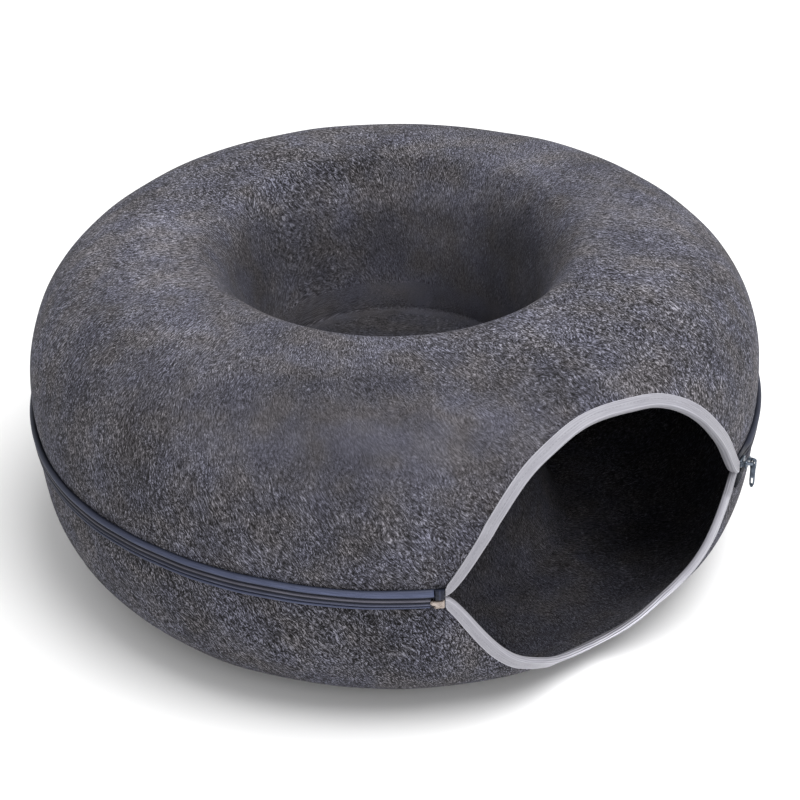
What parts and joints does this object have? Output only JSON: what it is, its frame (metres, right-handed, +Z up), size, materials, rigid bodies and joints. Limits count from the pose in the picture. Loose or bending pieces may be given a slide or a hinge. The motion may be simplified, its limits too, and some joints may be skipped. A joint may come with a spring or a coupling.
{
  "type": "donut cat tunnel bed",
  "caption": "Ring-shaped felt tunnel bed for a cat: a hollow ring with an eye-shaped entrance, a sunk round middle and a zip round the outside.",
  "frame": {"origin": "on the floor under the middle of the ring", "axes": "+Z up, -Y towards the picture's viewer, +X to that viewer's right; the entrance faces between -Y and +X"},
  "size_m": [0.5, 0.5, 0.22],
  "materials": {
    "felt": "needle-punched melange felt, charcoal grey, moulded",
    "binding": "pale grey woven binding, fine ribs along it",
    "zip_tape": "navy zip tape with a satin face",
    "bare_tape": "pale cut end of the zip tape",
    "slider_metal": "dark blue-grey plated die casting"
  },
  "bodies": {
    "root": {"upper_shell": "felt", "lower_shell": "felt", "binding_upper": "binding", "binding_lower": "binding", "zip_tape_upper": "zip_tape", "zip_chain": "zip_tape", "zip_tape_lower": "zip_tape", "zip_folded_end": "zip_tape", "zip_tape_stub": "bare_tape", "zip_tape_tail": "zip_tape", "zip_slider": "slider_metal", "zip_pull": "slider_metal"}
  },
  "joints": []
}
